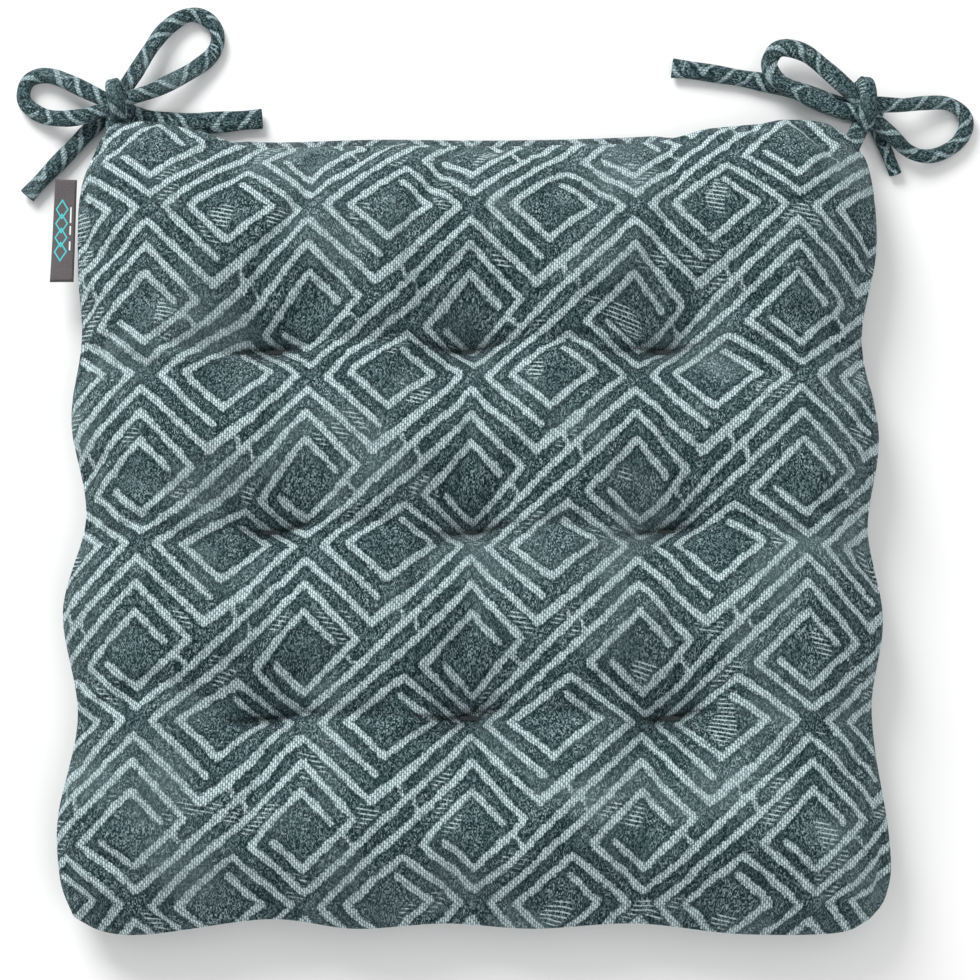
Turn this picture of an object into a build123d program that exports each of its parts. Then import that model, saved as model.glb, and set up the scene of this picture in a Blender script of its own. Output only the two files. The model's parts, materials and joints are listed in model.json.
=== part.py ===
from build123d import *
import math
import os

# Chair seat pad: two sewn panels over a fibre filling, nine tufts, two corner ties, a side label.
# Millimetres, +Z up. The underside rests on z = 0, and the ties come out of the two back corners (+Y).

CROWN = 48.0             # height of the swells between the tufts
SEAM_Z = 20.0            # height of the edge seam
COVER = 1.2              # thickness of one cloth panel
GAP = 0.2                # play between the covers and what they hold
TUFT_X = 95.5            # tuft spacing across
TUFT_Y = 90.5            # tuft spacing front to back
TUFT_CENTRE = (1.5, -7.5)
TUFT_FLOOR = 25.0        # height of the cover at the bottom of a tuft
TUFT_BASE = 4.0          # height of the underside at a tuft
TUFT_FLOOR_R = 7.0       # radius of a tuft's flat bottom
TUFT_MOUTH_R = 30.0      # radius of a tuft's dip at the crown
TUFT_UNDER_R = 19.0      # radius of the dimple under a tuft
UPPER_SLANT = 1.4        # how far the dips' walls move in plan for each mm of cloth
LOWER_SLANT = 1.8
TACK_LENGTH = 10.0       # one sewn tuft bar
TACK_WIDTH = 1.6
TIE_DIAMETER = 7.0       # a soft folded strip, as a round tube
KNOT_R = 8.0
FOLD_R = 2.5             # the soft roll of cloth that a tie folds about
NECK_WIDTH = 5.5
NECK_THICK = 2.2
ROOT_SIZE = (9.5, 21.0, 2.6)
ROOT_SLOPE = -40.0       # the root runs up this steeply from the fold line to the seam
HINGE_Z = 8.0            # height of the fold line where a tie leaves the corner
ALLOWANCE_REACH = 11.0   # how far in the turned-in edges go
THREAD_INSET = 4.0
THREAD_WIDTH = 0.8
LABEL_LENGTH = 53.0
LABEL_REACH = 11.0
LABEL_THICK = 1.0
LABEL_X = -195.0         # fold line of the label
LABEL_Y = 146.5
HEM_X = -187.4           # the label's sewn-in end
HEM_WIDTH = 7.4
SEWN_SHARE = 0.985       # what filling the pad leaves of its flat outline
FACETS = 120             # flat facets round the outline
OUTLINE_SHIFT = (0.1, -0.85)

# The sewn outline at its widest, clockwise from the back left corner. It draws in at each tuft line.
OUTLINE = [
    (-184, 202), (-142, 201), (-95, 197), (-46, 198.5), (2, 198), (50, 198.5), (98, 199), (142, 202),
    (184, 204), (202, 191), (206, 140), (197, 92), (204, 42), (197, -5), (203, -50), (196, -97),
    (203, -160), (199, -189), (183, -200), (130, -202), (80, -197), (32, -199.5), (-10, -197),
    (-54, -199.5), (-95, -195), (-155, -202), (-189, -194), (-197, -150), (-189, -97), (-198, -46),
    (-188, 2), (-197, 50), (-193, 92), (-196.3, 122), (-196.3, 165), (-194, 191),
]

# How far the wall stands in from the outline at each height, below and above the seam.
LOWER_PROFILE = [(0.0, 14.0), (8.0, 3.0), (20.0, 0.0)]
UPPER_PROFILE = [(20.0, 0.0), (31.0, 3.0), (42.0, 14.0), (48.0, 32.0)]


def outline_corners():
    """Evenly spaced places round the outline, so that every wall of the form is made of flat facets."""
    curve = Spline(*OUTLINE, periodic=True)
    spots = [curve @ (index / FACETS) for index in range(FACETS)]
    return [(spot.X * SEWN_SHARE, spot.Y * SEWN_SHARE) for spot in spots]


CORNERS = outline_corners()


def ring_points(inset, z):
    share = 1 - inset / 200.0
    return [Vector(x * share + OUTLINE_SHIFT[0], y * share + OUTLINE_SHIFT[1], z) for x, y in CORNERS]


def flat_face(points):
    return Face(Wire.make_polygon(points, close=True))


def ring_face(inset, z):
    return flat_face(ring_points(inset, z))


def flat_ring(outer_inset, inner_inset, low, high):
    outer = extrude(ring_face(outer_inset, low), amount=high - low, dir=(0, 0, 1))
    inner = extrude(ring_face(inner_inset, low - 1), amount=high - low + 2, dir=(0, 0, 1))
    return outer - inner


def tuft_places():
    places = []
    for row in (1, 0, -1):
        for column in (-1, 0, 1):
            places.append((TUFT_CENTRE[0] + column * TUFT_X, TUFT_CENTRE[1] + row * TUFT_Y))
    return places


def cone(x, y, low, high, low_r, high_r):
    base = make_face(Wire.make_circle(low_r, Plane((x, y, low))))
    top = make_face(Wire.make_circle(high_r, Plane((x, y, high))))
    return loft([base, top])


def half_volume(profile, inset, past_seam):
    """One half of the cushion form, its walls moved inward by inset and carried past the seam plane."""
    loops = []
    for height, stand_in in profile:
        z = height
        if height == 0.0:
            z = inset
        if height == CROWN:
            z = CROWN - inset
        if height == SEAM_Z:
            z = SEAM_Z + past_seam
        loops.append(ring_points(stand_in + inset, z))
    faces = [flat_face(loops[0]), flat_face(loops[-1])]
    for low, high in zip(loops, loops[1:]):
        for index in range(FACETS):
            ahead = (index + 1) % FACETS
            faces.append(flat_face([low[index], low[ahead], high[ahead], high[index]]))
    return Solid(Shell(faces))


def upper_volume(inset, past_seam):
    body = half_volume(UPPER_PROFILE, inset, -past_seam)
    for x, y in tuft_places():
        slant = UPPER_SLANT * inset
        body = body - cone(x, y, TUFT_FLOOR - inset, CROWN + 2, TUFT_FLOOR_R + slant, TUFT_MOUTH_R + slant)
    return body


def lower_volume(inset, past_seam):
    body = half_volume(LOWER_PROFILE, inset, past_seam)
    for x, y in tuft_places():
        slant = LOWER_SLANT * inset
        body = body - cone(x, y, -2, TUFT_BASE + inset, TUFT_UNDER_R + slant, TUFT_FLOOR_R + slant)
    return body


def tack(x, y, length, width, low, high):
    outline = Pos(x, y, low) * SlotOverall(length, width)
    return extrude(outline, amount=high - low, dir=(0, 0, 1))


def route_tube(name, points):
    """A round tube along straight runs joined by arcs as large as the runs allow."""
    spots = [Vector(*p) for p in points]
    radii = []
    for a, b, c in zip(spots, spots[1:], spots[2:]):
        turn = math.radians((b - a).get_angle(c - b))
        shorter = min((b - a).length, (c - b).length)
        radii.append(0.45 * shorter / math.tan(turn / 2))
    path = FilletPolyline(*spots, radius=radii)
    circle = make_face(Wire.make_circle(TIE_DIAMETER / 2, Plane(path @ 0, z_dir=path % 0)))
    tube = sweep(circle, path=path)
    expected = math.pi * TIE_DIAMETER ** 2 / 4 * path.length
    small = [round(r, 1) for r in radii if r < 100]
    print(name, "length", round(path.length, 1), "radii", small,
          "volume share", round(tube.volume / expected, 3))
    return tube


def turned(angle, point):
    return Location(point, (0, 0, angle))


# ---- the cushion -------------------------------------------------------------------------------
upper_outer = upper_volume(0.0, 0.0)
lower_outer = lower_volume(0.0, 0.0)
top_cover = upper_outer - upper_volume(COVER, 1.0)
bottom_cover = lower_outer - lower_volume(COVER, 1.0)
filling = upper_volume(COVER + GAP, 0.0) + lower_volume(COVER + GAP, 0.0)

# The two panels' turned-in edges, the line of thread on them, and the room they take in the filling.
allowance = flat_ring(COVER + GAP + 1.0, ALLOWANCE_REACH, SEAM_Z - 1.0, SEAM_Z + 1.0)
seam_thread = flat_ring(THREAD_INSET, THREAD_INSET + THREAD_WIDTH, SEAM_Z + 1.0, SEAM_Z + 1.6)
filling = filling - flat_ring(-5.0, ALLOWANCE_REACH + 0.3, SEAM_Z - 1.3, SEAM_Z + 1.8)

tufts = {}
for index, (x, y) in enumerate(tuft_places()):
    name = f"tuft_stitch_r{index // 3 + 1}c{index % 3 + 1}"
    tufts[name] = tack(x, y, TACK_LENGTH, TACK_WIDTH, TUFT_BASE - 1.5, TUFT_FLOOR + 1.5)

# ---- the ties ----------------------------------------------------------------------------------
# Each tie folds about a level line just outside its corner. In the tie's own axes X runs along that
# line and Y points away from the pad.
LEFT_FOLD = (-179.0, 206.5, HINGE_Z)
LEFT_ANGLE = 0.0
LEFT_KNOT = (-178.0, 218.0, 8.2)
RIGHT_FOLD = (196.5, 206.5, HINGE_Z)
RIGHT_ANGLE = -20.0
RIGHT_KNOT = (203.0, 214.5, 8.2)

LEFT_ROUTES = {
    "left_tie_loop_long": [
        (-178, 219, 9.5), (-169, 232.5, 10), (-161, 248, 8), (-153, 262, 5), (-140, 270, 3.8),
        (-128, 262, 3.7), (-127, 249.5, 3.7), (-136.5, 239, 4.6), (-150, 229.5, 8.5), (-163.5, 221, 13),
        (-177, 217.5, 13.5),
    ],
    "left_tie_loop_short": [
        (-179, 219, 11.6), (-191, 223.5, 11.4), (-204, 231.5, 7.5), (-217, 238, 4.6), (-229, 232.5, 3.8),
        (-229.5, 219.5, 3.7), (-218, 211, 5.5), (-203, 209, 10.5), (-190, 211, 12), (-180, 217, 11.6),
    ],
    "left_tie_tail_back": [
        (-178, 217, 3.9), (-165, 211.5, 3.8), (-149, 209.3, 3.7), (-127, 209.5, 3.7), (-104, 211.5, 3.7),
    ],
    "left_tie_tail_side": [
        (-178, 218, 3.9), (-190.5, 207, 3.8), (-199.5, 196.5, 3.7), (-209, 185.5, 3.7), (-222, 170.5, 3.7),
    ],
}
RIGHT_ROUTES = {
    "right_tie_loop_long": [
        (203, 214.5, 11.6), (193, 224, 12.4), (183, 234.5, 12), (172, 245, 11.5), (159, 248, 11),
        (152.5, 239.5, 11), (156, 229.5, 11.2), (167, 223.5, 12), (179, 217, 12.8), (190, 211.3, 13.4),
        (202, 210.5, 13),
    ],
    "right_tie_loop_short": [
        (204, 216, 13), (217, 215, 12.5), (230, 218.5, 8), (245, 220.5, 4), (255.5, 213, 3.7),
        (251, 199, 3.7), (238, 191, 3.8), (225, 190.5, 7.5), (214, 200, 13), (205.5, 208.6, 11.6),
    ],
    "right_tie_tail_back": [
        (202, 215.5, 3.9), (190, 219, 3.8), (172, 226, 3.7), (151, 231.5, 3.7), (128, 236, 3.7), (105, 239, 3.7),
    ],
    "right_tie_tail_side": [
        (204, 213, 3.9), (209, 203, 3.8), (213.5, 193.5, 3.7), (217, 183, 3.7),
    ],
}


def tie_parts(side, fold, angle, knot, routes):
    place = turned(angle, fold)
    fold_line = place * Cylinder(FOLD_R, 9, rotation=(0, 90, 0))
    fold_room = place * Cylinder(FOLD_R + 0.4, 30, rotation=(0, 90, 0))
    ball = Pos(*knot) * Sphere(KNOT_R)
    ball_room = Pos(*knot) * Sphere(KNOT_R + 0.4)
    strap = place * Pos(0, -8.5, 6.5) * Rot(ROOT_SLOPE, 0, 0) * Box(*ROOT_SIZE)
    root = strap - fold_room
    root = root - upper_outer - lower_outer
    near = [piece for piece in root.solids() if (piece.center() - Vector(*fold)).length < 12]
    root = max(near, key=lambda piece: piece.volume)
    away = Vector(*knot) - Vector(*fold)
    heading = math.degrees(math.atan2(away.Y, away.X))
    strip = Pos(away.length / 2, 0, 0) * Box(away.length, NECK_WIDTH, NECK_THICK)
    neck = fold_line + turned(heading, fold) * strip
    neck = neck - ball
    neck = max(neck.solids(), key=lambda piece: piece.volume)
    parts = {f"{side}_tie_root": root}
    parts[f"{side}_tie_neck"] = neck
    parts[f"{side}_tie_knot"] = ball
    for name, points in routes.items():
        tube = route_tube(name, points)
        room = ball
        if name.endswith("side"):
            room = ball_room
        pieces = (tube - room).solids()
        parts[name] = max(pieces, key=lambda piece: piece.volume)
    return parts


left = tie_parts("left", LEFT_FOLD, LEFT_ANGLE, LEFT_KNOT, LEFT_ROUTES)
right = tie_parts("right", RIGHT_FOLD, RIGHT_ANGLE, RIGHT_KNOT, RIGHT_ROUTES)

# ---- the side label ----------------------------------------------------------------------------
label_roll = Pos(LABEL_X, LABEL_Y, SEAM_Z) * Cylinder(0.9, LABEL_LENGTH, rotation=(90, 0, 0))
label_leaf = Pos(LABEL_X - LABEL_REACH / 2, LABEL_Y, SEAM_Z) * Box(LABEL_REACH, LABEL_LENGTH, LABEL_THICK)
side_label = label_roll + label_leaf
label_hem = Pos(HEM_X, LABEL_Y, SEAM_Z) * Box(HEM_WIDTH, LABEL_LENGTH, LABEL_THICK)
label_room = Pos(HEM_X, LABEL_Y, SEAM_Z) * Box(HEM_WIDTH + 0.4, LABEL_LENGTH + 0.4, LABEL_THICK + 0.4)
allowance = allowance - label_room

# ---- each tuft's thread goes right through -----------------------------------------------------
for stitch in tufts.values():
    top_cover = top_cover - stitch
    bottom_cover = bottom_cover - stitch
    filling = filling - stitch

nodes = {
    "top_cover": top_cover,
    "bottom_cover": bottom_cover,
    "filling": filling,
    "seam_allowance": allowance,
    "seam_thread": seam_thread,
    "side_label": side_label,
    "side_label_hem": label_hem,
}
nodes.update(tufts)
nodes.update(left)
nodes.update(right)

sides = Compound(children=[top_cover, bottom_cover, side_label]).bounding_box()
print("pad and label from", sides.min, "to", sides.max)

os.makedirs("parts", exist_ok=True)
for name, shape in nodes.items():
    solids = [piece for piece in shape.solids() if piece.volume > 5]
    export_step(Compound(children=solids) if len(solids) > 1 else solids[0], f"parts/{name}.step")
    print(name, len(solids), "solids, volume", round(sum(s.volume for s in solids), 1))
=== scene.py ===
import json
import math
import bpy
import numpy as np
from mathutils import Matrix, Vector

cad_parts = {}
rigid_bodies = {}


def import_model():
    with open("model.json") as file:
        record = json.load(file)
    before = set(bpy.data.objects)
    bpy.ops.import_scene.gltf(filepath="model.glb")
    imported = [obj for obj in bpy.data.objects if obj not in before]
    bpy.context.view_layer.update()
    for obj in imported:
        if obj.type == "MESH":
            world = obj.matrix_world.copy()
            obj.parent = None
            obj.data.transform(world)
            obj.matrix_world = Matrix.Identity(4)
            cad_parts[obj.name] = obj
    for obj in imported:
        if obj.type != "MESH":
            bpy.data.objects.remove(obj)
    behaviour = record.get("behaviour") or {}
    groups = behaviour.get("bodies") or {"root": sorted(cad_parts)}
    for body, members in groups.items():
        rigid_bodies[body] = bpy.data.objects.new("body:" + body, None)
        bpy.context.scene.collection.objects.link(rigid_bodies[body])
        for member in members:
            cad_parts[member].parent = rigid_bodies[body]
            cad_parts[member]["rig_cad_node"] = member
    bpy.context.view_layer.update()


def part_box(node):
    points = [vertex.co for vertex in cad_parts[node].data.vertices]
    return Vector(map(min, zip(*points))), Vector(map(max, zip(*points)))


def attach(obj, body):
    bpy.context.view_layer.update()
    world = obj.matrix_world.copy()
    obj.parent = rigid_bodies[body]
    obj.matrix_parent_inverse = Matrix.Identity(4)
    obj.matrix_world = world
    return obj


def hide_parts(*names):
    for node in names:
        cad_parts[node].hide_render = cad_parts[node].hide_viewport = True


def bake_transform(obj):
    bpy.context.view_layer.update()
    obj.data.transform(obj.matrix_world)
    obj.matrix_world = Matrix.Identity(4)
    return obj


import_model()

# A tufted chair seat pad in figured chenille jacquard, with a bow tie at each back corner.
MM = 0.001
scene = bpy.context.scene

# ------------------------------------------------------------------ small helpers


def link(obj):
    scene.collection.objects.link(obj)
    return obj


def mesh_object(name, verts, faces, smooth=True):
    mesh = bpy.data.meshes.new(name)
    mesh.from_pydata([tuple(v) for v in verts], [], faces)
    mesh.update()
    obj = link(bpy.data.objects.new(name, mesh))
    if smooth:
        mesh.shade_smooth()
    return obj


def corner_vertices(mesh):
    """The vertex number at each face corner."""
    index = np.zeros(len(mesh.loops), np.int32)
    mesh.loops.foreach_get("vertex_index", index)
    return index


def add_uv(mesh, name, places):
    """A UV map from one place per vertex."""
    layer = mesh.uv_layers.new(name=name)
    layer.data.foreach_set("uv", np.asarray(places, np.float32)[corner_vertices(mesh)].ravel())


def ring_faces(base, rows, ring):
    """Quads between rows of vertices that close round, ring vertices to a row."""
    faces = []
    for i in range(rows):
        here, after = base + i * ring, base + (i + 1) * ring
        for k in range(ring):
            k2 = (k + 1) % ring
            faces.append((here + k, here + k2, after + k2, after + k))
    return faces


def smooth_path(points, count):
    """count even places along a smooth curve through the points."""
    p = np.array(points, float)
    ends = np.vstack([2 * p[0] - p[1], p, 2 * p[-1] - p[-2]])
    t = np.linspace(0, 1, 16, endpoint=False)[:, None]
    line = []
    for i in range(len(p) - 1):
        a, b, c, d = ends[i:i + 4]
        square = 2 * a - 5 * b + 4 * c - d
        cube = 3 * b - a - 3 * c + d
        line.append(0.5 * (2 * b + (c - a) * t + square * t ** 2 + cube * t ** 3))
    line = np.vstack(line + [p[-1:]])
    run = np.concatenate([[0], np.cumsum(np.linalg.norm(np.diff(line, axis=0), axis=1))])
    at = np.linspace(0, run[-1], count)
    return np.stack([np.interp(at, run, line[:, k]) for k in range(line.shape[1])], 1)


def waves(x, y, seed, scale, octaves=3):
    """Smooth random unevenness from -1 to 1, from sums of slanted sine waves."""
    r = np.random.default_rng(seed)
    total = np.zeros_like(x)
    weight = 0.0
    for k in range(octaves):
        size = scale / 1.9 ** k
        for _ in range(5):
            turn = r.uniform(0, 2 * math.pi)
            phase = r.uniform(0, 2 * math.pi)
            wave = size * r.uniform(0.8, 1.3)
            total += 0.6 ** k * np.sin(2 * math.pi * (x * math.cos(turn) + y * math.sin(turn)) / wave + phase)
        weight += 0.6 ** k * 2.6
    return total / weight


# ------------------------------------------------------------------ the woven figure
# One repeat holds two unbroken key lines. Each is a list of corners in repeats, x across and y down.
REPEAT = (78.5 * MM, 83.7 * MM)
FIGURE_AT = (3.0 * MM, 15.1 * MM)
KEY_LINES = [
    [(0.172, -0.041), (-0.005, -0.212), (-0.306, 0.078), (0.011, 0.332), (0.25, 0.150), (0.48, -0.055),
     (0.74, -0.285), (0.995, -0.515), (1.20, -0.330), (1.398, -0.150), (1.65, -0.345), (1.925, -0.600),
     (1.74, -0.745), (1.586, -0.857), (1.42, -0.735), (1.252, -0.600), (1.48, -0.395), (1.61, -0.505),
     (1.75, -0.610), (1.56, -0.755)],
    [(-0.172, 0.067), (0.005, 0.212), (0.16, 0.075), (0.306, -0.058), (0.15, -0.215), (-0.005, -0.373),
     (-0.20, -0.187), (-0.40, -0.012), (-0.64, 0.182), (-0.898, 0.404), (-0.74, 0.560), (-0.575, 0.705)],
]
BRIDGES = [
    [(-0.45, -0.275), (-0.415, -0.170)],
    [(-0.36, -0.190), (-0.325, -0.075)],
    [(0.235, 0.012), (0.300, 0.085)],
]
BROAD = [(1.398, -0.150), (1.65, -0.345)]
# half the width of a light line in mm: a key line, its broad stroke and a bridge
KEY_HALF, BROAD_HALF, BRIDGE_HALF = 1.6, 2.2, 0.9


def figure_edge(places):
    """Millimetres from each place in the cloth to the edge of the nearest light line, below 0 inside it."""
    p = np.stack([(places[:, 0] - FIGURE_AT[0]) / REPEAT[0], -(places[:, 1] - FIGURE_AT[1]) / REPEAT[1]], 1)
    size = np.array(REPEAT) * 1000
    best = np.full(len(p), 1e9)
    strokes = []
    for line in KEY_LINES:
        for a, b in zip(line, line[1:]):
            strokes.append((a, b, BROAD_HALF if [a, b] == BROAD else KEY_HALF))
    for a, b in BRIDGES:
        strokes.append((a, b, BRIDGE_HALF))
    for a, b, half in strokes:
        a, b = np.array(a), np.array(b)
        middle, arm = (a + b) / 2, (b - a) / 2 * size
        gap = p - middle
        gap = (gap - np.round(gap)) * size
        along = np.clip(gap @ arm / (arm @ arm), -1, 1)
        away = np.linalg.norm(gap - along[:, None] * arm, axis=1)
        best = np.minimum(best, away - half)
    return best


def set_figure(obj, places):
    """Stores the cloth coordinates as a UV map in metres and the distance to the figure's lines."""
    mesh = obj.data
    edge = figure_edge(places)
    attribute = mesh.attributes.new("figure_edge", "FLOAT", "POINT")
    attribute.data.foreach_set("value", edge.astype(np.float32))
    add_uv(mesh, "Fabric", places)


# ------------------------------------------------------------------ materials


def group(name, inputs, outputs):
    tree = bpy.data.node_groups.new(name, "ShaderNodeTree")
    for label, kind, value in inputs:
        socket = tree.interface.new_socket(label, in_out="INPUT", socket_type=kind)
        if value is not None:
            socket.default_value = value
    for label, kind in outputs:
        tree.interface.new_socket(label, in_out="OUTPUT", socket_type=kind)
    start = tree.nodes.new("NodeGroupInput")
    end = tree.nodes.new("NodeGroupOutput")
    return tree, start, end


class Net:
    """Short calls for building a node tree."""

    def __init__(self, tree):
        self.tree = tree

    def node(self, kind, **settings):
        made = self.tree.nodes.new(kind)
        for key, value in settings.items():
            setattr(made, key, value)
        return made

    def join(self, source, target):
        if isinstance(source, (int, float, tuple)):
            target.default_value = source
        else:
            self.tree.links.new(source, target)

    def math(self, operation, *values, clamp=False):
        made = self.node("ShaderNodeMath", operation=operation, use_clamp=clamp)
        for value, socket in zip(values, made.inputs):
            self.join(value, socket)
        return made.outputs[0]

    def vector(self, operation, a, b):
        made = self.node("ShaderNodeVectorMath", operation=operation)
        self.join(a, made.inputs[0])
        self.join(b, made.inputs[1])
        return made.outputs[0]

    def ramp(self, value, low, high, out_low=0.0, out_high=1.0):
        made = self.node("ShaderNodeMapRange", interpolation_type="SMOOTHSTEP")
        for item, socket in zip((value, low, high, out_low, out_high), made.inputs):
            self.join(item, socket)
        return made.outputs[0]

    def noise(self, place, scale, detail=2.0, rough=0.5):
        made = self.node("ShaderNodeTexNoise")
        self.join(place, made.inputs["Vector"])
        made.inputs["Scale"].default_value = scale
        made.inputs["Detail"].default_value = detail
        made.inputs["Roughness"].default_value = rough
        return made.outputs["Fac"]

    def mix(self, share, a, b, blend="MIX"):
        made = self.node("ShaderNodeMix", data_type="RGBA", blend_type=blend)
        self.join(share, made.inputs[0])
        self.join(a, made.inputs[6])
        self.join(b, made.inputs[7])
        return made.outputs[2]

    def xyz(self, x, y, z=0.0):
        made = self.node("ShaderNodeCombineXYZ")
        for value, socket in zip((x, y, z), made.inputs):
            self.join(value, socket)
        return made.outputs[0]

    def split(self, place):
        """The x and y of a place."""
        made = self.node("ShaderNodeSeparateXYZ")
        self.join(place, made.inputs[0])
        return made.outputs[0], made.outputs[1]

    def in_mm(self, place):
        return self.vector("MULTIPLY", place, (1000.0, 1000.0, 1000.0))

    def bump(self, shader, height, distance, strength=1.0):
        """Relief of the given depth in metres on a shader."""
        made = self.node("ShaderNodeBump")
        made.inputs["Strength"].default_value = strength
        made.inputs["Distance"].default_value = distance
        self.join(height, made.inputs["Height"])
        self.join(made.outputs[0], shader.inputs["Normal"])


def principled(name, roughness):
    """A new material, the calls for its tree, and its shader."""
    material = bpy.data.materials.new(name)
    material.use_nodes = True
    shader = material.node_tree.nodes["Principled BSDF"]
    shader.inputs["Roughness"].default_value = roughness
    return material, Net(material.node_tree), shader


# One float stitch of the light yarn and one tuft of the pile, in mm across and along the cloth.
STITCH = (1.12, 2.3)
PILE = (0.48, 0.78)


def chenille_group():
    """The jacquard's colour and relief: light key lines of short float stitches on mottled chenille."""
    tree, start, end = group(
        "chenille_jacquard",
        [("Cloth", "NodeSocketVector", None),
         ("Figure edge", "NodeSocketFloat", 0.0),
         ("Ground", "NodeSocketColor", (0.054, 0.098, 0.108, 1)),
         ("Deep", "NodeSocketColor", (0.0025, 0.0125, 0.0155, 1)),
         ("Light yarn", "NodeSocketColor", (0.56, 0.68, 0.705, 1)),
         ("Pale fleck", "NodeSocketColor", (0.33, 0.42, 0.44, 1)),
         ("Between", "NodeSocketColor", (0.105, 0.155, 0.168, 1)),
         ("Fleck", "NodeSocketFloat", 1.0),
         ("Line swell", "NodeSocketFloat", 0.0)],
        [("Colour", "NodeSocketColor"), ("Relief", "NodeSocketFloat")])
    n = Net(tree)
    cloth = n.in_mm(start.outputs["Cloth"])
    x, y = n.split(cloth)
    # the line's edge wanders by the odd thread
    drift = n.math("MULTIPLY", n.math("SUBTRACT", n.noise(cloth, 0.16, 1.0), 0.5), 2.2)
    fray = n.math("MULTIPLY", n.math("SUBTRACT", n.noise(cloth, 0.8, 2.0), 0.5), 3.2)
    edge = n.math("ADD", n.math("ADD", start.outputs["Figure edge"], drift), fray)
    edge = n.math("SUBTRACT", edge, start.outputs["Line swell"])
    line = n.ramp(edge, -0.5, 0.5, 1.0, 0.0)
    # short float stitches, staggered from column to column
    column = n.math("DIVIDE", x, STITCH[0])
    whole = n.math("FLOOR", column)
    across = n.math("SINE", n.math("MULTIPLY", n.math("FRACT", column), math.pi))
    pace = n.math("DIVIDE", y, STITCH[1])
    row = n.math("FRACT", n.math("ADD", pace, n.math("MULTIPLY", whole, 0.41)))
    along = n.math("SINE", n.math("MULTIPLY", row, math.pi))
    stitch = n.math("MULTIPLY", n.math("POWER", across, 0.85), n.math("POWER", along, 0.5))
    jitter = n.noise(n.xyz(whole, pace), 0.83, 0.0)
    float_light = n.math("MULTIPLY", stitch, n.ramp(jitter, 0.3, 0.65, 0.6, 1.1))
    # the ground: twisted pile yarns in salt and pepper, one tuft of pile to a cell
    cell = n.xyz(n.math("FLOOR", n.math("DIVIDE", x, PILE[0])), n.math("FLOOR", n.math("DIVIDE", y, PILE[1])))
    salt = n.node("ShaderNodeTexWhiteNoise", noise_dimensions="2D")
    n.join(cell, salt.inputs["Vector"])
    pile = n.noise(n.xyz(n.math("MULTIPLY", x, 1.3), n.math("MULTIPLY", y, 0.9)), 1.0, 2.0, 0.7)
    fine = n.math("ADD", n.math("MULTIPLY", salt.outputs["Value"], 0.36), n.math("MULTIPLY", pile, 0.64))
    patch = n.noise(cloth, 0.06, 2.0, 0.55)
    clump = n.noise(cloth, 0.28, 1.0, 0.5)
    # painted shade: the ground next to the light lines is darker and has fewer pale flecks, standing in for
    # shadow along the lines' edges
    near = n.ramp(edge, 0.2, 3.2, 1.0, 0.0)
    open_ground = n.math("SUBTRACT", 1.0, n.math("MULTIPLY", near, 0.75))
    away_from_lines = n.math("ADD", 0.25, n.math("MULTIPLY", open_ground, 0.75))
    pepper = n.math("MULTIPLY", n.ramp(fine, 0.34, 0.62), away_from_lines)
    ground = n.mix(pepper, start.outputs["Deep"], start.outputs["Ground"])
    lift = n.math("MULTIPLY", n.ramp(fine, 0.48, 0.74), n.ramp(patch, 0.32, 0.66, 0.3, 1.0))
    lift = n.math("MULTIPLY", lift, n.ramp(clump, 0.3, 0.65, 0.4, 1.2))
    lift = n.math("MULTIPLY", n.math("MULTIPLY", lift, open_ground), start.outputs["Fleck"])
    ground = n.mix(lift, ground, start.outputs["Pale fleck"])
    light = n.mix(n.ramp(float_light, 0.12, 0.78), start.outputs["Between"], start.outputs["Light yarn"])
    # stray picks of light yarn, then patches of painted sheen: a paler haze that stands in for the pile's
    # velvety sheen
    slant = n.math("ADD", y, n.math("MULTIPLY", x, 0.16))
    pick = n.math("SINE", n.math("MULTIPLY", slant, 2 * math.pi / 2.1))
    stray = n.ramp(n.noise(cloth, 0.045, 0.0), 0.66, 0.70)
    stray = n.math("MULTIPLY", stray, n.ramp(pick, 0.35, 0.75))
    stray = n.math("MULTIPLY", stray, n.math("SUBTRACT", 1.0, near))
    stray = n.math("MULTIPLY", stray, n.ramp(fine, 0.3, 0.5, 0.3, 0.8))
    ground = n.mix(stray, ground, start.outputs["Light yarn"])
    colour = n.mix(line, ground, light)
    # painted sheen: random patches where the colour is mixed towards a paler pile colour
    painted_sheen_patches = n.ramp(n.noise(cloth, 0.019, 2.0, 0.6), 0.46, 0.74, 0.0, 0.3)
    colour = n.mix(painted_sheen_patches, colour, n.mix(fine, start.outputs["Ground"], start.outputs["Pale fleck"]))
    raised = n.math("MULTIPLY", line, n.math("ADD", 0.5, n.math("MULTIPLY", stitch, 0.4)))
    napped = n.math("MULTIPLY", n.math("SUBTRACT", 1.0, line), n.math("MULTIPLY", fine, 0.75))
    n.join(colour, end.inputs["Colour"])
    n.join(n.math("ADD", raised, napped), end.inputs["Relief"])
    return tree


CHENILLE = chenille_group()


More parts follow.
